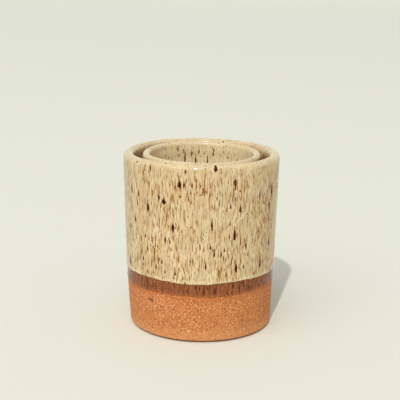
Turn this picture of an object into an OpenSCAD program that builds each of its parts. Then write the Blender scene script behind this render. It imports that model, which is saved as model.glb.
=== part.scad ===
// Nested pair of clay tea cups: a small cup stands loose inside a larger tumbler.
// Each cup is one thrown clay body under two dipped coats of glaze.
// Millimetres, +Z up, origin on the turning axis at the level of the outer foot.

/* [Outer cup] */
// Diameter of the bare clay at the rim
outer_rim_d = 79; // [74:0.5:110]
// Diameter of the bare clay at the foot
outer_foot_d = 74.6; // [50:0.2:79]
// Height of the clay, from the foot to the crest of the lip
outer_h = 90; // [60:0.5:130]
// Thickness of the clay wall, measured level
outer_wall = 4.5; // [2.5:0.1:7]
// Thickness of the clay floor above the turned hollow of the foot
outer_floor = 5; // [3:0.5:10]
// Radius of the round between the inside wall and the floor
outer_corner_r = 6; // [2:0.5:12]
// Radius of the softened edge between the outside wall and the foot
outer_heel_r = 1.5; // [0.5:0.25:4]
// Width of the ring that the cup stands on
outer_foot_ring = 7; // [4:0.5:15]
// Depth of the turned hollow inside the foot ring
outer_foot_hollow = 1.5; // [0.5:0.25:4]

/* [Inner cup] */
// Gap between the two glazed walls, all round
nest_gap = 4.25; // [1:0.25:8]
// Height of the inner rim above the outer rim
rim_step = -0.5; // [-10:0.5:20]
// Thickness of the clay wall, measured level
inner_wall = 3; // [2:0.1:5]
// Thickness of the clay floor above the turned hollow of the foot
inner_floor = 4; // [3:0.5:8]
// Radius of the round between the inside wall and the floor
inner_corner_r = 8; // [2:0.5:15]
// Radius of the softened edge between the outside wall and the foot
inner_heel_r = 1.25; // [0.5:0.25:4]
// Width of the ring that the cup stands on
inner_foot_ring = 5; // [3:0.5:12]
// Depth of the turned hollow inside the foot ring
inner_foot_hollow = 1; // [0.5:0.25:3]

/* [Glaze] */
// Thickness of the brown coat on the clay
brown_coat = 0.2; // [0.1:0.05:0.5]
// Thickness of the cream coat on the brown coat
cream_coat = 0.3; // [0.1:0.05:0.8]
// Height of the bare clay below the brown coat of the outer cup
outer_bare_h = 24.5; // [5:0.5:40]
// Height of the brown band left showing below the cream coat of the outer cup
outer_band_h = 7; // [2:0.5:15]
// Height of the bare clay below the brown coat of the inner cup
inner_bare_h = 20; // [5:0.5:40]
// Height of the brown band left showing below the cream coat of the inner cup
inner_band_h = 6; // [2:0.5:15]

/* [Hidden] */

// Colours of the fired clay and of the two glazes
terracotta = "#c87d4a";
brown_glaze = "#7d4a2c";
cream_glaze = "#dcc9a0";

// Straight steps in each round edge of a profile
arc_steps = 16;
$fn = 128;

// Full thickness of glaze on a wall
coats = brown_coat + cream_coat;

// Lean of the walls from upright, the same for both cups so that they nest
lean = atan2(outer_rim_d - outer_foot_d, 2 * outer_h);

// The inner cup stands on the glazed floor of the outer cup
nest_z = outer_foot_hollow + outer_floor + coats;
inner_h = outer_h - nest_z + rim_step;

// Outside clay radius of the inner foot, a gap and a coat away from the outer cup's glazed wall
inner_foot_r = outer_foot_d / 2 + nest_z * tan(lean) - outer_wall - (2 * coats + nest_gap) / cos(lean);

// The inner heel is at least round enough to clear the round of the outer cup's floor
nest_heel_r = max(inner_heel_r, outer_corner_r - coats - nest_gap);

// A cup is its foot level, foot radius, height, wall, inside floor level, corner and heel radii,
// foot ring width and foot hollow depth
outer_cup = [
    0, outer_foot_d / 2, outer_h, outer_wall, outer_foot_hollow + outer_floor,
    outer_corner_r, outer_heel_r, outer_foot_ring, outer_foot_hollow
];
inner_cup = [
    nest_z, inner_foot_r, inner_h, inner_wall, inner_foot_hollow + inner_floor,
    inner_corner_r, nest_heel_r, inner_foot_ring, inner_foot_hollow
];
function foot_z(cup) = cup[0];
function foot_r(cup) = cup[1];
function rim_z(cup) = cup[0] + cup[2];
function wall(cup) = cup[3];
function floor_z(cup) = cup[0] + cup[4];
function corner_r(cup) = cup[5];
function heel_r(cup) = cup[6];
function ring_w(cup) = cup[7];
function hollow(cup) = cup[8];

// Points of an arc about a centre, from one angle to another
function arc(centre, r, from, to) = [
    for (i = [0 : arc_steps])
        let (angle = from + (to - from) * i / arc_steps)
        centre + r * [cos(angle), sin(angle)]
];

// List of points in the opposite order
function backwards(points) = [for (i = [len(points) - 1 : -1 : 0]) points[i]];

// Outside clay radius of a cup at a height
function wall_r(cup, z) = foot_r(cup) + (z - foot_z(cup)) * tan(lean);

// Point on the outside wall at a height, stood off the clay by a thickness
function on_wall(cup, z, off) = [wall_r(cup, z) + off / cos(lean), z];

// Radius of the clay lip: half the wall measured square to its faces
function lip_r(cup) = wall(cup) * cos(lean) / 2;

// Skin of a cup stood off the clay: over the round lip, down the inside and across the floor
function inside_skin(cup, off) =
    let (
        lip_z = rim_z(cup) - lip_r(cup),
        lip_centre = [wall_r(cup, lip_z) - wall(cup) / 2, lip_z],
        corner_z = floor_z(cup) + corner_r(cup),
        corner_x = wall_r(cup, corner_z) - wall(cup) - corner_r(cup) / cos(lean)
    )
    concat(
        arc(lip_centre, lip_r(cup) + off, -lean, 180 - lean),
        arc([corner_x, corner_z], corner_r(cup) - off, -lean, -90),
        [[0, floor_z(cup) + off]]
    );

// Half section of the clay: hollowed foot, soft heel, wall, lip, inside and floor
function clay_profile(cup) =
    let (
        heel_z = foot_z(cup) + heel_r(cup),
        heel_x = wall_r(cup, heel_z) - heel_r(cup) / cos(lean),
        ring_x = heel_x - ring_w(cup),
        hollow_z = foot_z(cup) + hollow(cup)
    )
    concat(
        [[0, hollow_z], [ring_x - hollow(cup), hollow_z], [ring_x, foot_z(cup)]],
        arc([heel_x, heel_z], heel_r(cup), -90, -lean),
        inside_skin(cup, 0)
    );

// Half section of a coat between two stand-offs, with a rounded lower edge at a height on the wall
function coat_profile(cup, inner_off, outer_off, edge_z) =
    let (
        thick = outer_off - inner_off,
        bead = on_wall(cup, edge_z, inner_off) + thick * [sin(lean), cos(lean)]
    )
    concat(
        arc(bead, thick, -90 - lean, -lean),
        inside_skin(cup, outer_off),
        backwards(inside_skin(cup, inner_off))
    );

// Body of revolution about the turning axis
module turned(profile, tint) {
    color(tint)
        rotate_extrude()
            polygon(profile);
}

module clay(cup) {
    turned(clay_profile(cup), terracotta);
}

module brown_coat_on(cup, bare_h) {
    turned(coat_profile(cup, 0, brown_coat, foot_z(cup) + bare_h), brown_glaze);
}

module cream_coat_on(cup, bare_h, band_h) {
    turned(coat_profile(cup, brown_coat, coats, foot_z(cup) + bare_h + band_h), cream_glaze);
}

// Large cup: thrown clay, bare at the foot
module outer_cup_clay() {
    clay(outer_cup);
}

// First dip of the large cup, seen as the brown band
module outer_cup_brown_glaze() {
    brown_coat_on(outer_cup, outer_bare_h);
}

// Second dip of the large cup, over the first
module outer_cup_cream_glaze() {
    cream_coat_on(outer_cup, outer_bare_h, outer_band_h);
}

// Small cup: thrown clay, bare at the foot
module inner_cup_clay() {
    clay(inner_cup);
}

// First dip of the small cup
module inner_cup_brown_glaze() {
    brown_coat_on(inner_cup, inner_bare_h);
}

// Second dip of the small cup, over the first
module inner_cup_cream_glaze() {
    cream_coat_on(inner_cup, inner_bare_h, inner_band_h);
}

outer_cup_clay();
outer_cup_brown_glaze();
outer_cup_cream_glaze();
inner_cup_clay();
inner_cup_brown_glaze();
inner_cup_cream_glaze();
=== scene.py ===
from types import SimpleNamespace

import bpy
import numpy as np
from mathutils import Matrix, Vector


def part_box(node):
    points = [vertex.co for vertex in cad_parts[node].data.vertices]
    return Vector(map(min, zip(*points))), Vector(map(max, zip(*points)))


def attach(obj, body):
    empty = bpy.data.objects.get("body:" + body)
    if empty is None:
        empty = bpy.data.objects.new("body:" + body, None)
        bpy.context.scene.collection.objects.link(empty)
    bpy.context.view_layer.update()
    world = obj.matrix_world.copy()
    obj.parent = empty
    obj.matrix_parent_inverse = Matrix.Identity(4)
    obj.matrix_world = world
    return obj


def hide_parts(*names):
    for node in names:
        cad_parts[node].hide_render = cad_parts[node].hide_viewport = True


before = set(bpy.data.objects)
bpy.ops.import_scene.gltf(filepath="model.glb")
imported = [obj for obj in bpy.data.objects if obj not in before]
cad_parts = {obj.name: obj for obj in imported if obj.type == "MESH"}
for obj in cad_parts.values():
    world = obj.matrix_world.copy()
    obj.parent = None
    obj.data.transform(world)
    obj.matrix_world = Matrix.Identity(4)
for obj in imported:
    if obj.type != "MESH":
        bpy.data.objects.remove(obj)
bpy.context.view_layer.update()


# Outer cup, clay body: a straight tumbler thrown in sandy red clay, its foot turned hollow on the wheel.
# It is fired bare below the glazes, which cover the rest of it and are fired fast to it.
mm = 0.001


def cup_shape(node, wall, floor, corner, heel, ring, hollow, askew):
    """Facts of one cup, read from its clay node's box. The wall leans out, the lip is a half round as thick
    as the wall, a quarter round joins the inside wall to the floor, and the foot is a ring about a hollow.
    The rim may be cut a little askew, higher at the front."""
    low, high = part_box(node)
    lean_out, lean_up = 2.2 * mm, 90.0 * mm
    lean = np.arctan2(lean_out, lean_up)
    cup = SimpleNamespace(lean=lean, wall=wall, corner=corner, ring=ring, askew=askew)
    cup.foot_z = low.z
    cup.rim_z = high.z
    cup.hollow_z = low.z + hollow
    cup.floor_z = cup.hollow_z + floor
    cup.lip_r = wall * np.cos(lean) / 2
    cup.lip_x = high.x - cup.lip_r
    cup.lip_z = high.z - cup.lip_r
    cup.foot_r = cup.lip_x + wall / 2 - (cup.lip_z - low.z) * np.tan(lean)
    cup.corner_z = cup.floor_z + corner
    cup.corner_x = cup.foot_r + (cup.corner_z - low.z) * np.tan(lean) - wall - corner / np.cos(lean)
    cup.heel_x = cup.foot_r + heel * np.tan(lean) - heel / np.cos(lean)
    return cup


def wall_radius(cup, z):
    """Radius of the outside clay wall at the heights z: a straight line from the foot, leaning outwards."""
    return cup.foot_r + (z - cup.foot_z) * np.tan(cup.lean)


def skin(cup, low, rows):
    """Clay surface above the heights low, ring by ring: leaning wall, half-round lip, inside wall, quarter
    round, flat floor. Gives each ring's radii and heights, and which way it faces off the clay."""
    lean = cup.lean
    round_ring = np.ones(low.size)

    lip_start = cup.lip_z - cup.lip_r * np.sin(lean)
    wall_z = low + (lip_start - low) * rows.climb[:, None]
    wall_r = wall_radius(cup, wall_z)
    wall_turn = np.full((rows.climb.size, 1), -lean)

    lip_turn = np.linspace(-lean, np.pi - lean, rows.lip)[:, None]
    lip_r = cup.lip_x + cup.lip_r * np.cos(lip_turn) * round_ring
    lip_z = cup.lip_z + cup.lip_r * np.sin(lip_turn) * round_ring

    lip_end = cup.lip_z + cup.lip_r * np.sin(lean)
    corner_start = cup.corner_z - cup.corner * np.sin(lean)
    inside_z = np.linspace(lip_end, corner_start, rows.inside + 1, endpoint=False)[1:, None] * round_ring
    inside_r = wall_radius(cup, inside_z) - cup.wall
    inside_turn = np.full((rows.inside, 1), np.pi - lean)

    corner_turn = np.linspace(-lean, -np.pi / 2, rows.corner)[:, None]
    corner_r = cup.corner_x + cup.corner * np.cos(corner_turn) * round_ring
    corner_z = cup.corner_z + cup.corner * np.sin(corner_turn) * round_ring

    floor_r = np.linspace(cup.corner_x, 0, rows.floor + 1)[1:, None] * round_ring
    floor_z = np.full((rows.floor, low.size), cup.floor_z)
    floor_turn = np.full((rows.floor, 1), np.pi / 2)

    r = np.concatenate([wall_r, lip_r, inside_r, corner_r, floor_r])
    z = np.concatenate([wall_z, lip_z, inside_z, corner_z, floor_z])
    turn = np.concatenate([wall_turn, lip_turn, inside_turn, corner_turn + np.pi, floor_turn])
    return r, z, np.cos(turn), np.sin(turn)


def hand_thrown(cup, angle, r, z, face_r, face_z):
    """Slight hand-made unevenness, the same under every coat. The cup is a little oval towards the rim and
    drawn in at the foot, more on one side. Its rim is askew and rises and falls, and a spiral of finger rings
    runs up the wall, deeper on the inside than outside."""
    oval_depth, rim_wave = 0.10 * mm, 0.12 * mm
    foot_reach, foot_draw, foot_uneven = 24 * mm, 0.55 * mm, 0.45 * mm
    ring_pitch, ring_outside, ring_inside = 6.5 * mm, 0.025 * mm, 0.11 * mm
    height = np.clip((z - cup.foot_z) / (cup.rim_z - cup.foot_z), 0, 1)
    near_foot = np.clip(1 - (z - cup.foot_z) / foot_reach, 0, 1) ** 1.5 * np.clip(face_r, 0, 1)
    oval = oval_depth * height * np.cos(2 * angle + 0.6)
    drawn_in = (foot_draw - foot_uneven * np.cos(angle)) * near_foot
    rise = (rim_wave * np.sin(3 * angle + 1.1) - cup.askew * np.sin(angle)) * height ** 8
    finger = np.sin(2 * np.pi * (z - cup.foot_z) / ring_pitch + angle)
    depth = ring_outside * np.clip(face_r, 0, 1) + ring_inside * np.clip(-face_r, 0, 1)
    share = r / cup.foot_r
    return r + (oval - drawn_in) * share + face_r * depth * finger, z + rise + face_z * depth * finger


def turned_piece(name, angle, r, z):
    """Closed piece made of rings from one point on the axis to another: x = r cos(angle), y = r sin(angle).
    Quads join each ring to the next, triangles close both ends, and its map unrolls the rings full size."""
    turns = angle.size
    count = r.shape[0] - 2
    ring_r, ring_z = r[1:-1], z[1:-1]
    sides = np.stack([ring_r * np.cos(angle), ring_r * np.sin(angle), ring_z], axis=-1).reshape(-1, 3)
    ends = np.array([[[0, 0, z[0, 0]]], [[0, 0, z[-1, 0]]]])
    points = np.concatenate([ends[0], sides, ends[1]])

    here = np.arange(turns)
    there = (here + 1) % turns
    start = 1 + turns * np.arange(count - 1)[:, None]
    quads = np.stack([start + here, start + there, start + turns + there, start + turns + here], axis=-1)
    last = 1 + turns * (count - 1)
    bottom = np.stack([np.zeros(turns, int), 1 + there, 1 + here], axis=-1)
    top = np.stack([last + here, last + there, np.full(turns, len(points) - 1)], axis=-1)
    corners = np.concatenate([bottom.ravel(), quads.ravel(), top.ravel()])
    sizes = np.concatenate([np.full(turns, 3), np.full(turns * (count - 1), 4), np.full(turns, 3)])

    mesh = bpy.data.meshes.new(name)
    mesh.vertices.add(len(points))
    mesh.vertices.foreach_set("co", points.ravel())
    mesh.loops.add(len(corners))
    mesh.loops.foreach_set("vertex_index", corners)
    mesh.polygons.add(len(sizes))
    mesh.polygons.foreach_set("loop_start", np.concatenate([[0], np.cumsum(sizes)[:-1]]))
    mesh.update(calc_edges=True)
    mesh.shade_smooth()

    along = np.concatenate([[0], np.cumsum(np.hypot(np.diff(r, axis=0), np.diff(z, axis=0)).mean(axis=1))])
    left = here / turns
    right = (here + 1) / turns
    middle = (left + right) / 2
    ring_v = along[1:-1, None] + 0 * left
    quad_u = np.stack([left, right, right, left], axis=-1) + np.zeros((count - 1, 1, 1))
    quad_v = np.stack([ring_v[:-1], ring_v[:-1], ring_v[1:], ring_v[1:]], axis=-1)
    bottom_u = np.stack([middle, right, left], axis=-1)
    bottom_v = np.stack([0 * left, ring_v[0], ring_v[0]], axis=-1)
    top_u = np.stack([left, right, middle], axis=-1)
    top_v = np.stack([ring_v[-1], ring_v[-1], 0 * left + along[-1]], axis=-1)
    girth = 2 * np.pi * r.max()
    u = girth * np.concatenate([bottom_u.ravel(), quad_u.ravel(), top_u.ravel()])
    v = np.concatenate([bottom_v.ravel(), quad_v.ravel(), top_v.ravel()])
    unrolled = mesh.uv_layers.new(name="unrolled")
    unrolled.uv.foreach_set("vector", np.stack([u, v], axis=-1).ravel())

    piece = bpy.data.objects.new(name, mesh)
    bpy.context.scene.collection.objects.link(piece)
    return piece


def soft_noise(seed, shape, reach):
    """Smooth unevenness on a grid that closes on itself around the cup: random numbers blurred by a bell
    curve as wide as reach, in grid steps along each way, and scaled to unit spread."""
    spectrum = np.fft.rfft2(np.random.default_rng(seed).standard_normal(shape))
    down = np.fft.fftfreq(shape[0])[:, None]
    around = np.fft.rfftfreq(shape[1])[None, :]
    bell = np.exp(-2 * np.pi ** 2 * ((down * reach[0]) ** 2 + (around * reach[1]) ** 2))
    smooth = np.fft.irfft2(spectrum * bell, s=shape)
    return smooth / smooth.std()


def clay_rings(cup, angle, rows, seed):
    """Whole clay body as rings, from the middle of the hollow under the foot to the middle of the floor:
    hollow, foot ring, a bevel cut up to the heel, a small round, then the skin, roughened by its sand."""
    bevel_in, bevel_up, edge_r = 4.6 * mm, 1.25 * mm, 0.35 * mm
    sand_fine, sand_slow, sand_from = 0.02 * mm, 0.03 * mm, 2.0 * mm
    ring_x = cup.heel_x - cup.ring
    stand_x = cup.heel_x - bevel_in
    slope = cup.hollow_z - cup.foot_z
    round_ring = np.ones(angle.size)
    hollow_r = np.linspace(0, ring_x - slope, rows.hollow, endpoint=False)[:, None] * round_ring
    hollow_z = np.full((rows.hollow, angle.size), cup.hollow_z)
    ring_r = np.array([ring_x - slope, ring_x - slope / 2, ring_x, (ring_x + stand_x) / 2, stand_x])
    ring_z = np.array([cup.hollow_z, cup.hollow_z - slope / 2, cup.foot_z, cup.foot_z, cup.foot_z])
    heel_turn = np.linspace(-np.pi / 2 + 0.2, -cup.lean, rows.heel)[:, None]
    heel_z = cup.foot_z + bevel_up + edge_r + edge_r * np.sin(heel_turn) * round_ring
    heel_r = wall_radius(cup, heel_z) - edge_r + edge_r * np.cos(heel_turn)
    outwards = np.ones((rows.heel, 1))
    heel_r, heel_z = hand_thrown(cup, angle, heel_r, heel_z, outwards, 0 * outwards)
    low = np.full(angle.size, heel_z[-1, 0] + 0.3 * mm)
    skin_r, skin_z, face_r, face_z = skin(cup, low, rows)
    skin_r, skin_z = hand_thrown(cup, angle, skin_r, skin_z, face_r, face_z)
    r = np.concatenate([hollow_r, ring_r[:, None] * round_ring, heel_r, skin_r])
    z = np.concatenate([hollow_z, ring_z[:, None] * round_ring, heel_z, skin_z])

    bare = slice(rows.hollow + ring_r.size + 1, rows.hollow + ring_r.size + rows.heel + rows.climb.size)
    sand = sand_fine * soft_noise(seed, r[bare].shape, (0.8, 0.8))
    sand += sand_slow * soft_noise(seed + 1, r[bare].shape, (6, 9))
    r[bare] += sand * np.clip((z[bare] - cup.foot_z) / sand_from, 0, 1)
    return r, z


def foot_marks(cup, angle, r, z, marks):
    """Small marks on the bare clay, each a bell-shaped spot: nicks are sunk into the wall and chips of stone
    stand proud of it. Rows are angle, height, half width, half height and depth, negative for a chip."""
    around, up, wide, high, depth = np.array(marks).T[:, :, None, None]
    gap = (angle - np.radians(around) + np.pi) % (2 * np.pi) - np.pi
    across = gap * cup.foot_r / mm / wide
    along = ((z - cup.foot_z) / mm - up) / high
    spots = np.exp(-(across ** 2) - along ** 2) * (r > cup.heel_x - 2 * mm)
    sunk = (spots * depth).sum(axis=0)
    tone = (spots * np.sign(depth)).sum(axis=0)
    return r - sunk * mm, tone


def climb_steps(share, close, wide):
    """Shares of the way up a wall, short of its top: close steps over the first share, then wide ones."""
    first = np.linspace(0, share, close, endpoint=False)
    return np.concatenate([first, np.linspace(share, 1, wide, endpoint=False)])


outer_cup = cup_shape("outer_cup_clay", wall=4.5 * mm, floor=5.0 * mm, corner=6.0 * mm, heel=1.5 * mm,
                      ring=7.0 * mm, hollow=1.5 * mm, askew=0.4 * mm)
clay_angle = np.linspace(0, 2 * np.pi, 480, endpoint=False)
clay_climb = climb_steps(0.29, 76, 30)
clay_rows = SimpleNamespace(hollow=8, heel=7, climb=clay_climb, lip=13, inside=24, corner=8, floor=8)
clay_r, clay_z = clay_rings(outer_cup, clay_angle, clay_rows, seed=4)
outer_marks = [
    (-131.5, 20, 2.0, 0.45, 0.25), (-129.5, 19.2, 0.7, 0.7, 0.2), (-126.5, 17, 0.5, 0.5, -0.06),
    (-30, 3.5, 0.5, 0.45, -0.06), (-98.5, 6.5, 0.6, 0.5, -0.06), (-154, 6, 0.6, 0.6, 0.15),
    (20, 9, 0.9, 0.4, 0.18), (64, 16, 0.5, 0.5, -0.06), (118, 6, 1.2, 0.35, 0.2),
    (160, 14, 0.45, 0.4, -0.06),
]
clay_r, clay_tone = foot_marks(outer_cup, clay_angle, clay_r, clay_z, outer_marks)
outer_clay = turned_piece("outer_clay_body", clay_angle, clay_r, clay_z)


def keep_place(piece, place):
    """Stores what the finish of a piece follows, three numbers for each point, for its material to read."""
    values = np.concatenate([place[:1, 0], place[1:-1].reshape(-1, 3), place[-1:, 0]])
    piece.data.attributes.new("place", "FLOAT_VECTOR", "POINT").data.foreach_set("vector", values.ravel())


def brown_line(angle, level):
    """Height of the first dip's edge around the cup: a level line with slow waves and a small ripple, both
    in millimetres."""
    slow = 0.30 * np.cos(5 * (angle + np.radians(112))) + 0.15 * np.cos(2 * (angle + np.radians(85)))
    ripple = 0.06 * np.sin(17 * angle + 0.4) + 0.05 * np.sin(29 * angle + 2.0)
    return level + (slow + ripple) * mm


outer_bare = 24.5 * mm
clay_below = (brown_line(clay_angle, outer_cup.foot_z + outer_bare) - clay_z) / mm
keep_place(outer_clay, np.stack([clay_below, (clay_z - outer_cup.foot_z) / mm, clay_tone], axis=-1))


def colour(red, green, blue):
    """Colour written as 0 to 255 screen values, turned into the linear values that shaders take."""
    screen = np.array([red, green, blue]) / 255
    linear = np.where(screen <= 0.04045, screen / 12.92, ((screen + 0.055) / 1.055) ** 2.4)
    return (*linear.tolist(), 1.0)


def feed(tree, node, values):
    """Gives a node its inputs: a value that is another node's socket is linked, and any other is set."""
    for key, value in values.items():
        if isinstance(value, bpy.types.NodeSocket):
            tree.links.new(value, node.inputs[key])
        else:
            node.inputs[key].default_value = value


def put(tree, kind, values, **settings):
    """Node of a kind in a tree, with its settings and its inputs."""
    node = tree.nodes.new("ShaderNode" + kind)
    for key, value in settings.items():
        setattr(node, key, value)
    feed(tree, node, values)
    return node


def calc(tree, operation, first, second=0.0, third=0.0):
    """Number worked out from one to three others."""
    return put(tree, "Math", {0: first, 1: second, 2: third}, operation=operation).outputs[0]


def fade(tree, value, start, end, low=0.0, high=1.0):
    """Smooth step from low to high as a value goes from start to end."""
    limits = {"Value": value, "From Min": start, "From Max": end, "To Min": low, "To Max": high}
    return put(tree, "MapRange", limits, interpolation_type="SMOOTHSTEP").outputs[0]


def tint(tree, share, under, over):
    """Colour over another, by a share from 0 to 1."""
    return put(tree, "Mix", {0: share, 6: under, 7: over}, data_type="RGBA").outputs[2]


def stain(tree, body, mask, strength, over):
    """Colour stained by another, as far as a mask times a strength says."""
    return tint(tree, calc(tree, "MULTIPLY", mask, strength), body, over)


def stretch(tree, vector, x, y, z):
    """Coordinates multiplied by a factor along each axis."""
    return put(tree, "VectorMath", {0: vector, 1: (x, y, z)}, operation="MULTIPLY").outputs[0]


def new_group(name, inputs, outputs):
    """Empty node group with named sockets, and its input and output nodes."""
    tree = bpy.data.node_groups.new(name, "ShaderNodeTree")
    for label, kind in inputs.items():
        tree.interface.new_socket(label, in_out="INPUT", socket_type="NodeSocket" + kind)
    for label, kind in outputs.items():
        tree.interface.new_socket(label, in_out="OUTPUT", socket_type="NodeSocket" + kind)
    return tree, tree.nodes.new("NodeGroupInput").outputs, tree.nodes.new("NodeGroupOutput").inputs


def use_group(tree, group, values):
    """Outputs of a node group placed in a material, with its own values."""
    node = tree.nodes.new("ShaderNodeGroup")
    node.node_tree = group
    feed(tree, node, values)
    return node.outputs


def new_material(name):
    """Material with one Principled shader, and its coordinates on the piece in millimetres."""
    material = bpy.data.materials.new(name)
    material.use_nodes = True
    tree = material.node_tree
    shader = tree.nodes["Principled BSDF"]
    place = put(tree, "TexCoord", {}).outputs["Object"]
    millimetres = stretch(tree, place, 1000.0, 1000.0, 1000.0)
    return material, tree, shader, millimetres


def read_kept(tree, label):
    """Three numbers that a piece keeps under a label all over its surface."""
    vector = put(tree, "Attribute", {}, attribute_name=label).outputs["Vector"]
    return put(tree, "SeparateXYZ", {0: vector}).outputs


def emboss(tree, shader, relief, strength, distance):
    """Fine relief of a finish, as a bump under its shader."""
    bump = put(tree, "Bump", {"Height": relief, "Strength": strength, "Distance": distance})
    tree.links.new(bump.outputs[0], shader.inputs["Normal"])


def sandy_grain():
    """Group: sand in the clay. Grain is the mottled fine surface, Grit the pale sand grains and Pits the dark
    holes that grains leave behind."""
    tree, given, out = new_group("sandy_grain", {"Vector": "Vector"},
                                 {"Grain": "Float", "Grit": "Float", "Pits": "Float"})
    fine = put(tree, "TexNoise", {"Vector": given["Vector"], "Scale": 2.8, "Detail": 2.0, "Roughness": 0.6})
    tree.links.new(fade(tree, fine.outputs[0], 0.44, 0.56), out["Grain"])
    grit = put(tree, "TexVoronoi", {"Vector": given["Vector"], "Scale": 0.72})
    chosen = put(tree, "SeparateColor", {0: grit.outputs["Color"]}).outputs[0]
    grit_size = fade(tree, chosen, 0.45, 1.0, 0.05, 0.42)
    grit_reach = calc(tree, "SUBTRACT", grit_size, grit.outputs["Distance"])
    tree.links.new(fade(tree, grit_reach, 0.0, 0.14), out["Grit"])
    moved = put(tree, "VectorMath", {0: given["Vector"], 1: (37.0, 11.0, 5.0)}, operation="ADD").outputs[0]
    pits = put(tree, "TexVoronoi", {"Vector": moved, "Scale": 0.6})
    picked = put(tree, "SeparateColor", {0: pits.outputs["Color"]}).outputs[0]
    pit_size = fade(tree, picked, 0.6, 1.0, 0.05, 0.36)
    pit_reach = calc(tree, "SUBTRACT", pit_size, pits.outputs["Distance"])
    tree.links.new(fade(tree, pit_reach, 0.0, 0.12), out["Pits"])
    return tree


sandy_grain_group = sandy_grain()


def fired_clay():
    """Bare sandy terracotta: mottled orange, pale grit, dark pits, a darker, redder band just below the glaze
    edge and paler clay over the lowest ten millimetres."""
    dark_grain, light_grain = colour(134, 50, 9), colour(248, 169, 98)
    clouded, redder_band, paler_low = colour(214, 138, 82), colour(184, 92, 38), colour(226, 162, 108)
    pale_grit, dark_pit = colour(240, 192, 140), colour(140, 72, 34)
    dark_nick, pale_chip = colour(92, 46, 26), colour(222, 216, 206)
    material, tree, shader, place = new_material("fired_clay")
    below, height, tone = read_kept(tree, "place")
    sand = use_group(tree, sandy_grain_group, {"Vector": place})
    cloud = put(tree, "TexNoise", {"Vector": place, "Scale": 0.07, "Detail": 3.0}).outputs[0]
    body = tint(tree, sand["Grain"], dark_grain, light_grain)
    body = tint(tree, fade(tree, cloud, 0.35, 0.7, 0.0, 0.25), body, clouded)
    body = tint(tree, fade(tree, below, 4.0, 0.2, 0.0, 0.4), body, redder_band)
    body = tint(tree, fade(tree, height, 10.0, 0.8, 0.0, 0.5), body, paler_low)
    body = stain(tree, body, sand["Grit"], 0.6, pale_grit)
    body = stain(tree, body, sand["Pits"], 0.6, dark_pit)
    body = tint(tree, fade(tree, tone, 0.2, 0.7, 0.0, 0.85), body, dark_nick)
    body = tint(tree, fade(tree, tone, -0.25, -0.7, 0.0, 0.9), body, pale_chip)
    tree.links.new(body, shader.inputs["Base Color"])
    tree.links.new(fade(tree, sand["Grain"], 0.0, 1.0, 0.92, 0.78), shader.inputs["Roughness"])
    relief = calc(tree, "MULTIPLY_ADD", sand["Grit"], 0.5, sand["Grain"])
    emboss(tree, shader, calc(tree, "SUBTRACT", relief, sand["Pits"]), 0.5, 0.12 * mm)
    return material


clay_material = fired_clay()
outer_clay.data.materials.append(clay_material)
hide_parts("outer_cup_clay")
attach(outer_clay, "outer_cup")


# Outer cup, brown glaze: the first dip, a thin clear brown coat over the wall, the lip and all the inside.
# It shows as a glossy band between its own wavy edge and the edge of the cream glaze that covers the rest.
inside_from = 100.0


def coat_rings(cup, angle, low, under, over, bead, rows):
    """Closed coat as rings: up its under face from the floor inside to the dip line low, then back over its
    outer face. The outer face swells from nothing at the line to a rounded bead, then settles to the coat.
    The under face keeps every ring of the round at the floor, and fewer elsewhere. Each point's place is its
    height above the line in millimetres, or inside the cup its depth below the rim added to inside_from, and
    then how far it faces up and inwards."""
    edge_round, bead_up, bead_reach = 0.55 * mm, 0.9 * mm, 0.7 * mm
    lip = rows.climb.size
    inside = lip + rows.lip
    corner = inside + rows.inside
    floor = corner + rows.corner
    r, z, face_r, face_z = skin(cup, low, rows)
    last = len(r) - 1
    above = np.clip(z - low, 0, None)
    above[inside:] = inside_from * mm + cup.rim_z - z[inside:]
    rounding = np.sqrt(1 - np.clip(1 - above / edge_round, 0, 1) ** 2)
    swell = 1 + bead * np.exp(-((above - bead_up) / bead_reach) ** 2)
    thick = under + (over - under) * rounding * swell
    r, z = hand_thrown(cup, angle, r, z, face_r, face_z)
    outer_r, outer_z = r + face_r * thick, z + face_z * thick
    under_r, under_z = r + face_r * under, z + face_z * under
    around = np.ones(angle.size)
    place = np.stack([above / mm, np.clip(face_z, 0, 1) * around, np.clip(-face_r, 0, 1) * around], axis=-1)
    kept = np.r_[0:lip:4, lip:inside:2, inside:corner:2, corner:floor, floor:last:4, last][::-1]
    return (np.concatenate([under_r[kept], outer_r[1:]]), np.concatenate([under_z[kept], outer_z[1:]]),
            np.concatenate([place[kept], place[1:]]))


def glaze_skin():
    """Group: surface of a melted glaze. Wave is its slow unevenness and Pinholes the few burst bubbles."""
    tree, given, out = new_group("glaze_skin", {"Vector": "Vector"}, {"Wave": "Float", "Pinholes": "Float"})
    wave = put(tree, "TexNoise", {"Vector": given["Vector"], "Scale": 0.4, "Detail": 2.0, "Roughness": 0.45})
    tree.links.new(wave.outputs[0], out["Wave"])
    holes = put(tree, "TexVoronoi", {"Vector": given["Vector"], "Scale": 0.16})
    chosen = put(tree, "SeparateColor", {0: holes.outputs["Color"]}).outputs[0]
    size = fade(tree, chosen, 0.6, 1.0, 0.0, 0.05)
    reach = calc(tree, "SUBTRACT", size, holes.outputs["Distance"])
    tree.links.new(fade(tree, reach, 0.0, 0.02), out["Pinholes"])
    return tree


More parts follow.
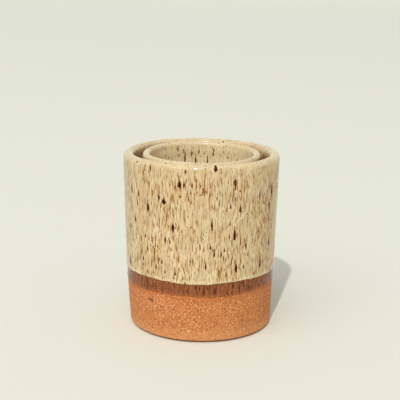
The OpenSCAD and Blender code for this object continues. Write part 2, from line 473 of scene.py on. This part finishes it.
def iron_runs():
    """Group: iron that ran down the wall as the glaze melted. Run is a streak mask, with streaks of a given
    width and length in millimetres, set by the two levels of the noise between which it fades in."""
    tree, given, out = new_group(
        "iron_runs",
        {"Vector": "Vector", "Width": "Float", "Length": "Float", "Start": "Float", "Full": "Float"},
        {"Run": "Float"})
    across = calc(tree, "DIVIDE", 1.0, given["Width"])
    down = calc(tree, "DIVIDE", 1.0, given["Length"])
    scale = put(tree, "CombineXYZ", {0: across, 1: across, 2: down}).outputs[0]
    drawn = put(tree, "VectorMath", {0: given["Vector"], 1: scale}, operation="MULTIPLY").outputs[0]
    noise = put(tree, "TexNoise", {"Vector": drawn, "Scale": 0.5, "Detail": 1.0, "Roughness": 0.4}).outputs[0]
    tree.links.new(fade(tree, noise, given["Start"], given["Full"]), out["Run"])
    return tree


def iron_specks():
    """Group: iron specks that melted into drops with a tail above. Each cell of a random grid, Cell wide and
    Drop high in millimetres, holds one drop or none. Speck is the whole drop and Core its dark heart."""
    tree, given, out = new_group(
        "iron_specks",
        {"Vector": "Vector", "Cell": "Float", "Drop": "Float", "Radius": "Float", "Tail": "Float",
         "Share": "Float"},
        {"Speck": "Float", "Core": "Float"})
    cell = put(tree, "CombineXYZ", {0: given["Cell"], 1: given["Cell"], 2: given["Drop"]}).outputs[0]
    scaled = put(tree, "VectorMath", {0: given["Vector"], 1: cell}, operation="DIVIDE").outputs[0]
    grid = put(tree, "TexVoronoi", {"Vector": scaled, "Scale": 1.0})
    apart = put(tree, "VectorMath", {0: scaled, 1: grid.outputs["Position"]}, operation="SUBTRACT").outputs[0]
    offset = put(tree, "VectorMath", {0: apart, 1: cell}, operation="MULTIPLY").outputs[0]
    sides = put(tree, "SeparateXYZ", {0: offset}).outputs
    level = put(tree, "VectorMath", {0: offset, 1: (1.0, 1.0, 0.0)}, operation="MULTIPLY").outputs[0]
    across = put(tree, "VectorMath", {0: level}, operation="LENGTH").outputs["Value"]
    chance = put(tree, "SeparateColor", {0: grid.outputs["Color"]}).outputs
    lowest = calc(tree, "SUBTRACT", 1.0, given["Share"])
    least = 0.02
    size = calc(tree, "MAXIMUM", calc(tree, "SQRT", fade(tree, chance[0], lowest, 1.0)), least)
    radius = calc(tree, "MULTIPLY", given["Radius"], size)
    drawn_out = calc(tree, "MULTIPLY", size, calc(tree, "ADD", chance[1], 0.3))
    tail = calc(tree, "MULTIPLY", given["Tail"], drawn_out)
    is_above = calc(tree, "GREATER_THAN", sides["Z"], 0.0)
    reach = calc(tree, "MULTIPLY_ADD", is_above, calc(tree, "SUBTRACT", tail, radius), radius)
    reach = calc(tree, "MAXIMUM", reach, least)
    rise = calc(tree, "DIVIDE", sides["Z"], reach)
    pinch = fade(tree, rise, 0.0, 1.0, 1.0, 0.3)
    flat = calc(tree, "DIVIDE", across, calc(tree, "MULTIPLY", radius, pinch))
    reached = calc(tree, "ADD", calc(tree, "MULTIPLY", flat, flat), calc(tree, "MULTIPLY", rise, rise))
    tree.links.new(fade(tree, reached, 1.0, 0.35), out["Speck"])
    tree.links.new(fade(tree, reached, 0.4, 0.05), out["Core"])
    return tree


glaze_skin_group = glaze_skin()
iron_runs_group = iron_runs()
iron_specks_group = iron_specks()


def brown_glaze():
    """Thin glossy brown glaze: the clay's grain shows through, dark iron runs down it, and it thins to a
    lighter, oranger brown just above its lower edge."""
    dark_grain, light_grain, thin_edge = colour(112, 58, 30), colour(176, 108, 65), colour(190, 110, 58)
    wide_brown, narrow_brown, drop_brown = colour(104, 50, 24), colour(70, 30, 12), colour(48, 22, 12)
    material, tree, shader, place = new_material("brown_glaze")
    above = read_kept(tree, "place")["X"]
    sand = use_group(tree, sandy_grain_group, {"Vector": place})
    wide = use_group(tree, iron_runs_group,
                     {"Vector": place, "Width": 0.5, "Length": 5.0, "Start": 0.53, "Full": 0.65})
    narrow = use_group(tree, iron_runs_group,
                       {"Vector": place, "Width": 0.3, "Length": 2.2, "Start": 0.56, "Full": 0.65})
    drops = use_group(tree, iron_specks_group,
                      {"Vector": place, "Cell": 1.9, "Drop": 4.0, "Radius": 0.5, "Tail": 3.0, "Share": 0.8})
    body = tint(tree, sand["Grain"], dark_grain, light_grain)
    body = stain(tree, body, wide["Run"], 0.65, wide_brown)
    body = stain(tree, body, narrow["Run"], 0.8, narrow_brown)
    body = stain(tree, body, drops["Speck"], 0.85, drop_brown)
    body = tint(tree, fade(tree, above, 1.6, 0.1, 0.0, 0.6), body, thin_edge)
    tree.links.new(body, shader.inputs["Base Color"])
    shader.inputs["Specular IOR Level"].default_value = 0.2
    tree.links.new(fade(tree, sand["Grain"], 0.0, 1.0, 0.1, 0.18), shader.inputs["Roughness"])
    surface = use_group(tree, glaze_skin_group, {"Vector": place})
    emboss(tree, shader, calc(tree, "MULTIPLY_ADD", sand["Grain"], 0.12, surface["Wave"]), 0.35, 0.2 * mm)
    return material


glaze_angle = np.linspace(0, 2 * np.pi, 320, endpoint=False)
brown_climb = climb_steps(0.03, 8, 52)
brown_rows = SimpleNamespace(climb=brown_climb, lip=17, inside=40, corner=8, floor=10)
outer_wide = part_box("outer_cup_clay")[1].x
brown_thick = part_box("outer_cup_brown_glaze")[1].x - outer_wide
outer_brown_low = brown_line(glaze_angle, outer_cup.foot_z + outer_bare)
brown_bead = 0.8
brown_r, brown_z, brown_place = coat_rings(
    outer_cup, glaze_angle, outer_brown_low, 0.0, brown_thick, brown_bead, brown_rows)
outer_brown = turned_piece("outer_brown_glaze", glaze_angle, brown_r, brown_z)
keep_place(outer_brown, brown_place)
brown_material = brown_glaze()
outer_brown.data.materials.append(brown_material)
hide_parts("outer_cup_brown_glaze")
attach(outer_brown, "outer_cup")


# Outer cup, cream glaze: the second dip, a thicker milky coat over the brown one, speckled with iron.
# Its specks ran downwards in the firing on the walls and stayed round dots on the lip.


def drop_span(tree, place):
    """How far out a point is in the large iron drop nearest to it: 0 at the drop's head and 1 at its edge.
    The edge is round below the head, drawn to a slimmer tail above it, and torn a little by noise."""
    sideways, upwards, _ = read_kept(tree, "iron_drop")
    half, head, tail = read_kept(tree, "drop_size")
    is_above = calc(tree, "GREATER_THAN", upwards, 0.0)
    reach = calc(tree, "MULTIPLY_ADD", is_above, calc(tree, "SUBTRACT", tail, head), head)
    rise = calc(tree, "DIVIDE", upwards, reach)
    width = calc(tree, "MULTIPLY", half, fade(tree, rise, 0.0, 1.0, 1.0, 0.45))
    across = calc(tree, "DIVIDE", sideways, width)
    span = calc(tree, "ADD", calc(tree, "MULTIPLY", across, across), calc(tree, "MULTIPLY", rise, rise))
    drawn = stretch(tree, place, 1.0, 1.0, 0.6)
    torn = put(tree, "TexNoise", {"Vector": drawn, "Scale": 1.1, "Detail": 2.0}).outputs[0]
    return calc(tree, "ADD", calc(tree, "SQRT", span), fade(tree, torn, 0.3, 0.7, -0.3, 0.3))


def cream_glaze():
    """Speckled cream glaze: a mottled cream, tan and brown streaks, brown and near-black iron drops with
    halos, and a few blue-grey flecks. The streaks are quiet near the rim, on the lip and inside. Painted
    shade browns the coat low in the gap between the cups, and painted light makes it paler where it faces up
    or into the cup. The lip has round dots and the brightest gloss."""
    # The palest cream also paints light on the lips and inside, and the browner tone paints shade deep in the
    # gap
    light_cream, deep_cream, pale_cream = colour(228, 209, 168), colour(214, 190, 147), colour(241, 226, 184)
    gap_shade_brown, tan_run = colour(146, 100, 58), colour(204, 162, 104)
    fine_run, hair_run = colour(146, 84, 28), colour(126, 66, 16)
    blue_grey, small_brown = colour(150, 156, 164), colour(136, 68, 20)
    medium_brown, medium_dark = colour(124, 58, 16), colour(66, 20, 4)
    dot_brown, dot_dark = colour(110, 52, 16), colour(50, 16, 3)
    drop_halo, drop_brown, drop_dark = colour(146, 76, 22), colour(92, 36, 12), colour(36, 9, 1)
    material, tree, shader, place = new_material("cream_glaze")
    above, level, inward = read_kept(tree, "place")
    drawn = stretch(tree, place, 1.0, 1.0, 0.4)
    mottle = {"Vector": drawn, "Scale": 0.16, "Detail": 4.0, "Roughness": 0.6}
    cloud = put(tree, "TexNoise", mottle).outputs[0]
    drift = put(tree, "TexNoise", {"Vector": drawn, "Scale": 0.11, "Detail": 2.0}).outputs[0]
    body = tint(tree, fade(tree, cloud, 0.32, 0.68), light_cream, deep_cream)

    depth = calc(tree, "SUBTRACT", above, inside_from)
    # Painted shade: the coat turns brown deeper in the gap between the cups, from 2.5 to 7 mm below the rim
    painted_gap_shade = calc(tree, "MULTIPLY", fade(tree, inward, -0.3, -1.0), fade(tree, depth, 2.5, 7.0, 0.0, 0.65))
    body = tint(tree, painted_gap_shade, body, gap_shade_brown)

    is_outside = calc(tree, "LESS_THAN", depth, 0.0)
    near_rim = calc(tree, "MULTIPLY", fade(tree, above, 50.0, 57.0, 0.0, 0.4), is_outside)
    quiet = calc(tree, "MAXIMUM", calc(tree, "MULTIPLY", level, 0.75), calc(tree, "MULTIPLY", inward, 0.4))
    loud = calc(tree, "SUBTRACT", 1.0, calc(tree, "MAXIMUM", quiet, near_rim))
    strong = calc(tree, "MULTIPLY", loud, fade(tree, drift, 0.36, 0.62, 0.55, 1.0))
    mirrored = stretch(tree, place, 1.0, -1.0, 1.0)
    broad = use_group(tree, iron_runs_group,
                      {"Vector": place, "Width": 0.45, "Length": 4.5, "Start": 0.45, "Full": 0.68})
    fine = use_group(tree, iron_runs_group,
                     {"Vector": place, "Width": 0.27, "Length": 2.6, "Start": 0.58, "Full": 0.65})
    hair = use_group(tree, iron_runs_group,
                     {"Vector": mirrored, "Width": 0.2, "Length": 1.8, "Start": 0.6, "Full": 0.66})
    body = stain(tree, body, broad["Run"], calc(tree, "MULTIPLY", strong, 0.75), tan_run)
    body = stain(tree, body, fine["Run"], strong, fine_run)
    body = stain(tree, body, hair["Run"], strong, hair_run)

    # Painted light: the cream turns paler where it faces up, as on the lips, and where it faces into the cup;
    # it is also paler just above its lower edge
    painted_light_share = fade(tree, inward, 0.0, 1.0, 0.3, 0.42)
    pale = calc(tree, "MULTIPLY", calc(tree, "MAXIMUM", level, inward), painted_light_share)
    pale = calc(tree, "MAXIMUM", fade(tree, above, 2.5, 0.4, 0.0, 0.35), pale)
    body = tint(tree, pale, body, pale_cream)

    turned = stretch(tree, place, -1.0, 1.0, 1.0)
    fleck = use_group(tree, iron_specks_group,
                      {"Vector": turned, "Cell": 4.2, "Drop": 8.0, "Radius": 0.7, "Tail": 2.4, "Share": 0.5})
    small = use_group(tree, iron_specks_group,
                      {"Vector": place, "Cell": 1.5, "Drop": 3.6, "Radius": 0.36, "Tail": 2.8, "Share": 0.7})
    medium = use_group(tree, iron_specks_group,
                       {"Vector": place, "Cell": 2.4, "Drop": 5.0, "Radius": 0.56, "Tail": 3.6, "Share": 0.6})
    dots = use_group(tree, iron_specks_group,
                     {"Vector": place, "Cell": 2.1, "Drop": 2.1, "Radius": 0.46, "Tail": 0.5, "Share": 0.6})
    on_lip = fade(tree, level, 0.15, 0.55, 0.0, 0.9)
    body = stain(tree, body, fleck["Speck"], 0.65, blue_grey)
    body = stain(tree, body, small["Speck"], 0.95, small_brown)
    body = stain(tree, body, medium["Speck"], 0.95, medium_brown)
    body = stain(tree, body, medium["Core"], 0.9, medium_dark)
    body = stain(tree, body, dots["Speck"], on_lip, dot_brown)
    body = stain(tree, body, dots["Core"], on_lip, dot_dark)

    span = drop_span(tree, place)
    body = tint(tree, fade(tree, span, 1.7, 1.0, 0.0, 0.7), body, drop_halo)
    body = tint(tree, fade(tree, span, 1.25, 0.85, 0.0, 0.95), body, drop_brown)
    body = stain(tree, body, fade(tree, span, 0.95, 0.55), fade(tree, inward, 0.0, 1.0, 1.0, 0.3), drop_dark)
    tree.links.new(body, shader.inputs["Base Color"])
    shader.inputs["Specular IOR Level"].default_value = 0.12
    shader.inputs["Coat Roughness"].default_value = 0.08
    tree.links.new(fade(tree, level, 0.05, 0.4, 0.0, 0.5), shader.inputs["Coat Weight"])
    tree.links.new(fade(tree, cloud, 0.3, 0.7, 0.09, 0.16), shader.inputs["Roughness"])
    surface = use_group(tree, glaze_skin_group, {"Vector": place})
    relief = calc(tree, "SUBTRACT", surface["Wave"], calc(tree, "MULTIPLY", surface["Pinholes"], 0.6))
    emboss(tree, shader, relief, 0.6, 0.3 * mm)
    return material


def cream_line(angle, level):
    """Height of the second dip's edge around the cup: slow waves, lower towards the back, and a ripple, all
    in millimetres."""
    slow = -0.32 * np.cos(5 * (angle + np.radians(95))) + 0.2 * np.cos(angle + np.radians(95)) - 0.3
    ripple = 0.07 * np.sin(19 * angle + 1.0) + 0.06 * np.sin(31 * angle) + 0.04 * np.sin(53 * angle + 0.7)
    return level + (slow + ripple) * mm


def mark_drops(piece, outside, inside):
    """Places large iron drops on the walls of a piece. Each face takes the drop nearest to it, and each of
    its corners keeps its distance from that drop's head, around and upwards, and the drop's half width, head
    and tail, all in millimetres. Rows of drops are angle, height, half width and length."""
    far_away, head_share, least_facing = 50.0, 0.36, 0.2
    mesh = piece.data
    corner_vertex = np.empty(len(mesh.loops), int)
    mesh.loops.foreach_get("vertex_index", corner_vertex)
    points = np.empty(3 * len(mesh.vertices))
    mesh.vertices.foreach_get("co", points)
    x, y, z = points.reshape(-1, 3)[corner_vertex].T / mm
    starts = np.empty(len(mesh.polygons), int)
    mesh.polygons.foreach_get("loop_start", starts)
    sizes = np.diff(np.append(starts, len(mesh.loops)))
    normals = np.empty(3 * len(mesh.polygons))
    mesh.polygons.foreach_get("normal", normals)
    face_x, face_y, face_z = [np.add.reduceat(value, starts) / sizes for value in (x, y, z)]
    face_r = np.hypot(face_x, face_y)
    facing = (normals.reshape(-1, 3)[:, 0] * face_x + normals.reshape(-1, 3)[:, 1] * face_y) / face_r
    of_face = np.repeat(np.arange(starts.size), sizes)
    away = np.full((corner_vertex.size, 3), far_away)
    drop_size = np.ones((corner_vertex.size, 3))
    for drops, on_side in ((outside, facing > least_facing), (inside, facing < -least_facing)):
        around, up, half, length = np.array(drops).T
        around = np.radians(around)
        head = head_share * length
        gap = (np.arctan2(face_y, face_x)[:, None] - around + np.pi) % (2 * np.pi) - np.pi
        nearest = np.argmin(np.hypot(gap * face_r[:, None], (face_z[:, None] - up) / 2), axis=1)[of_face]
        turn = (np.arctan2(y, x) - around[nearest] + np.pi) % (2 * np.pi) - np.pi
        middle = up[nearest] - length[nearest] / 2 + head[nearest]
        chosen = on_side[of_face]
        offset = np.stack([turn * np.hypot(x, y), z - middle, 0 * z], axis=-1)
        away[chosen] = offset[chosen]
        shape = np.stack([half, head, length - head], axis=-1)[nearest]
        drop_size[chosen] = shape[chosen]
    for label, values in (("iron_drop", away), ("drop_size", drop_size)):
        mesh.attributes.new(label, "FLOAT_VECTOR", "CORNER").data.foreach_set("vector", values.ravel())


def scattered_drops(seed, count, angles, heights):
    """Drops strewn at random over a range of angles and heights, most of them small and slim."""
    slimmest, wider, shortest, longer = 0.32, 0.45, 2.4, 3.2
    lot = np.random.default_rng(seed)
    half = slimmest + wider * lot.random(count) ** 2
    return np.stack([lot.uniform(*angles, count), lot.uniform(*heights, count), half,
                     shortest + longer * lot.random(count)], axis=-1)


front_drops = [
    (-105, 82, 0.75, 4.6), (-80, 90.1, 0.65, 3.6), (-65, 56.5, 0.65, 5.6), (-131, 68.5, 0.65, 5.2),
    (-110, 60, 0.65, 4.6), (-63, 39, 0.65, 4.2), (-117, 72.5, 0.85, 3.4), (-82, 62, 0.42, 6.2),
    (-121, 74.5, 0.42, 4.8), (-66, 83, 0.5, 3.8), (-61, 69, 0.45, 3.6), (-86, 41, 0.36, 4.2),
    (-116, 53.5, 0.4, 4.4), (-132, 47, 0.4, 3.2), (-28, 75.5, 0.8, 5.2), (-75, 47, 0.34, 4.0),
    (-141, 74, 0.4, 3.6), (-102, 82, 0.34, 2.8), (-80, 47, 0.34, 2.8), (-55, 50, 0.36, 4.0),
    (-83, 50.5, 0.36, 2.4), (-119, 41.5, 0.42, 2.2), (-28, 48, 0.6, 4.6), (-39.5, 38.5, 0.45, 4.2),
    (-31, 67.5, 0.5, 4.0), (-43.5, 75, 0.4, 5.4), (-20, 81, 0.6, 4.4), (-150, 75, 0.5, 4.0),
    (-146, 60, 0.45, 3.6), (-134, 53.3, 0.36, 2.4), (-139, 51, 0.34, 3.2), (-137, 41, 0.4, 2.6),
    (-128, 88.2, 0.36, 3.2), (-142.5, 68.5, 0.36, 2.8),
]
back_drops = scattered_drops(21, 46, (-20, 210), (36, 88))
outer_inside_drops = scattered_drops(22, 60, (-180, 180), (14, 86))
cream_climb = climb_steps(0.04, 10, 82)
cream_rows = SimpleNamespace(climb=cream_climb, lip=25, inside=64, corner=10, floor=12)
cream_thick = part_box("outer_cup_cream_glaze")[1].x - outer_wide
outer_band = 7.0 * mm
outer_cream_low = cream_line(glaze_angle, outer_cup.foot_z + outer_bare + outer_band)
cream_bead = 0.35
cream_r, cream_z, cream_place = coat_rings(
    outer_cup, glaze_angle, outer_cream_low, brown_thick, cream_thick, cream_bead, cream_rows)
outer_cream = turned_piece("outer_cream_glaze", glaze_angle, cream_r, cream_z)
# A reversed sign tells the finish that this inside is the gap side, where painted shade browns the coat
# deeper down
cream_place[..., 2] *= -1
keep_place(outer_cream, cream_place)
mark_drops(outer_cream, np.concatenate([front_drops, back_drops]), outer_inside_drops)
cream_material = cream_glaze()
outer_cream.data.materials.append(cream_material)
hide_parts("outer_cup_cream_glaze")
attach(outer_cream, "outer_cup")


# Inner cup, clay body: a smaller, thinner cup thrown in the same clay, standing loose on the floor of the
# outer one. Only its glaze shows while it is nested; its bare foot shows when it is lifted out.
inner_cup = cup_shape("inner_cup_clay", wall=3.0 * mm, floor=4.0 * mm, corner=8.0 * mm, heel=1.25 * mm,
                      ring=5.0 * mm, hollow=1.0 * mm, askew=0.0)
inner_angle = np.linspace(0, 2 * np.pi, 360, endpoint=False)
inner_clay_rows = SimpleNamespace(hollow=7, heel=6, climb=clay_climb, lip=11, inside=20, corner=8, floor=8)
inner_clay_r, inner_clay_z = clay_rings(inner_cup, inner_angle, inner_clay_rows, seed=9)
inner_marks = [(-70, 12, 0.9, 0.4, 0.18), (35, 7, 0.5, 0.5, -0.06), (150, 15, 0.6, 0.5, 0.15)]
inner_clay_r, inner_tone = foot_marks(inner_cup, inner_angle, inner_clay_r, inner_clay_z, inner_marks)
inner_clay = turned_piece("inner_clay_body", inner_angle, inner_clay_r, inner_clay_z)
inner_bare = 20.0 * mm
inner_turn = 2.0
inner_below = (brown_line(inner_angle + inner_turn, inner_cup.foot_z + inner_bare) - inner_clay_z) / mm
keep_place(inner_clay, np.stack([inner_below, (inner_clay_z - inner_cup.foot_z) / mm, inner_tone], axis=-1))
inner_clay.data.materials.append(clay_material)
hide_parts("inner_cup_clay")
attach(inner_clay, "inner_cup")


# Inner cup, brown glaze: the same thin first dip as on the outer cup, fired fast to the clay.
# Its band shows only with the cup lifted out; its waves are the outer cup's, turned part of the way round.
inner_glaze_angle = np.linspace(0, 2 * np.pi, 272, endpoint=False)
inner_brown_low = brown_line(inner_glaze_angle + inner_turn, inner_cup.foot_z + inner_bare)
inner_brown_r, inner_brown_z, inner_brown_place = coat_rings(
    inner_cup, inner_glaze_angle, inner_brown_low, 0.0, brown_thick, brown_bead, brown_rows)
inner_brown = turned_piece("inner_brown_glaze", inner_glaze_angle, inner_brown_r, inner_brown_z)
keep_place(inner_brown, inner_brown_place)
inner_brown.data.materials.append(brown_material)
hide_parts("inner_cup_brown_glaze")
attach(inner_brown, "inner_cup")


# Inner cup, cream glaze: the same speckled second dip over the brown one, fired with it.
# It covers the lip, the gap side and the whole inside, where slim drops ran down below the rim.
inner_band = 6.0 * mm
inner_cream_low = cream_line(inner_glaze_angle + inner_turn, inner_cup.foot_z + inner_bare + inner_band)
inner_cream_r, inner_cream_z, inner_cream_place = coat_rings(
    inner_cup, inner_glaze_angle, inner_cream_low, brown_thick, cream_thick, cream_bead, cream_rows)
inner_cream = turned_piece("inner_cream_glaze", inner_glaze_angle, inner_cream_r, inner_cream_z)
keep_place(inner_cream, inner_cream_place)
inside_drops = [
    (110, 82, 0.34, 8.0), (97, 80, 0.42, 5.0), (83, 80, 0.36, 6.0), (119, 87, 0.3, 3.0), (93, 85, 0.3, 3.0),
    (102, 84, 0.26, 3.6), (76, 84, 0.26, 3.0), (127, 80, 0.26, 4.0),
]
inside_drops = np.concatenate([inside_drops, scattered_drops(32, 44, (-180, 180), (18, 84))])
mark_drops(inner_cream, scattered_drops(31, 44, (-180, 180), (36, 86)), inside_drops)
inner_cream.data.materials.append(cream_material)
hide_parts("inner_cup_cream_glaze")
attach(inner_cream, "inner_cup")


# Stage: a plain pale paper floor that rises behind the cups in one sweep. A broad soft lamp stands high at
# the front left, a small key lamp at the front casts the clear shadow, and an even pale surround fills in.
sweep_width, sweep_front, sweep_back, sweep_radius, sweep_height = 8.0, -3.0, 3.5, 1.2, 3.0
sweep_turn = np.linspace(-np.pi / 2, 0, 25)
sweep_y = np.concatenate([[sweep_front], sweep_back + sweep_radius * np.cos(sweep_turn),
                          [sweep_back + sweep_radius]])
sweep_z = np.concatenate([[0.0], sweep_radius + sweep_radius * np.sin(sweep_turn), [sweep_height]])
left_edge = np.stack([np.full(sweep_y.size, -sweep_width / 2), sweep_y, sweep_z], axis=-1)
right_edge = left_edge * np.array([-1, 1, 1])
step = np.arange(sweep_y.size - 1)
strips = np.stack([step, step + sweep_y.size, step + sweep_y.size + 1, step + 1], axis=-1)
sweep_mesh = bpy.data.meshes.new("floor_sweep")
sweep_mesh.from_pydata(np.concatenate([left_edge, right_edge]).tolist(), [], strips.tolist())
sweep_mesh.shade_smooth()
floor_sweep = bpy.data.objects.new("floor_sweep", sweep_mesh)
bpy.context.scene.collection.objects.link(floor_sweep)
paper = bpy.data.materials.new("pale_paper")
paper.use_nodes = True
paper_shader = paper.node_tree.nodes["Principled BSDF"]
paper_shader.inputs["Base Color"].default_value = colour(233, 235, 223)
paper_shader.inputs["Roughness"].default_value = 0.9
sweep_mesh.materials.append(paper)

surround = bpy.data.worlds.new("even_surround")
surround.use_nodes = True
surround.node_tree.nodes["Background"].inputs["Color"].default_value = (1.0, 1.0, 0.99, 1.0)
surround.node_tree.nodes["Background"].inputs["Strength"].default_value = 0.46
bpy.context.scene.world = surround

soft_lamp = bpy.data.lights.new("soft_top", "AREA")
soft_lamp.shape = "SQUARE"
soft_lamp.size = 3.0
soft_lamp.energy = 32.0
soft_lamp.color = (1.0, 0.99, 0.97)
soft_top = bpy.data.objects.new("soft_top", soft_lamp)
bpy.context.scene.collection.objects.link(soft_top)


def aim(lamp, place):
    """Puts a lamp at a place and turns it to face the cups: its back axis points away from them."""
    back = np.array(place) / np.linalg.norm(place)
    right = np.cross([0, 0, 1], back)
    right /= np.linalg.norm(right)
    axes = np.eye(4)
    axes[:3] = np.stack([right, np.cross(back, right), back, place], axis=-1)
    lamp.matrix_world = Matrix(axes.tolist())


aim(soft_top, (-1.0, -1.8, 2.6))
key_lamp = bpy.data.lights.new("key", "SUN")
key_lamp.energy = 1.5
key_lamp.color = (1.0, 0.98, 0.95)
key_lamp.angle = np.radians(1.4)
key = bpy.data.objects.new("key", key_lamp)
bpy.context.scene.collection.objects.link(key)
aim(key, (-0.33, -1.76, 1.81))


# Camera: a long lens half a metre away and a little above the rims, looking slightly down at the cups.
# It is turned a touch off level, as a hand holds it, and is not shifted.
camera_place = np.array([0.0, -502.5, 190.9]) * mm
camera_pitch, camera_yaw, camera_roll = np.radians([14.13, -0.058, 0.708])
forward = np.array([np.sin(camera_yaw) * np.cos(camera_pitch), np.cos(camera_yaw) * np.cos(camera_pitch),
                    -np.sin(camera_pitch)])
level_right = np.array([np.cos(camera_yaw), -np.sin(camera_yaw), 0.0])
level_up = np.cross(level_right, forward)
camera_axes = np.eye(4)
camera_axes[:3, 0] = np.cos(camera_roll) * level_right + np.sin(camera_roll) * level_up
camera_axes[:3, 1] = np.cos(camera_roll) * level_up - np.sin(camera_roll) * level_right
camera_axes[:3, 2] = -forward
camera_axes[:3, 3] = camera_place
camera_data = bpy.data.cameras.new("camera")
camera_data.sensor_width = 36.0
camera_data.lens = 90.0
camera = bpy.data.objects.new("camera", camera_data)
camera.matrix_world = Matrix(camera_axes.tolist())
bpy.context.scene.collection.objects.link(camera)
bpy.context.scene.camera = camera
bpy.context.scene.view_settings.view_transform = "Standard"
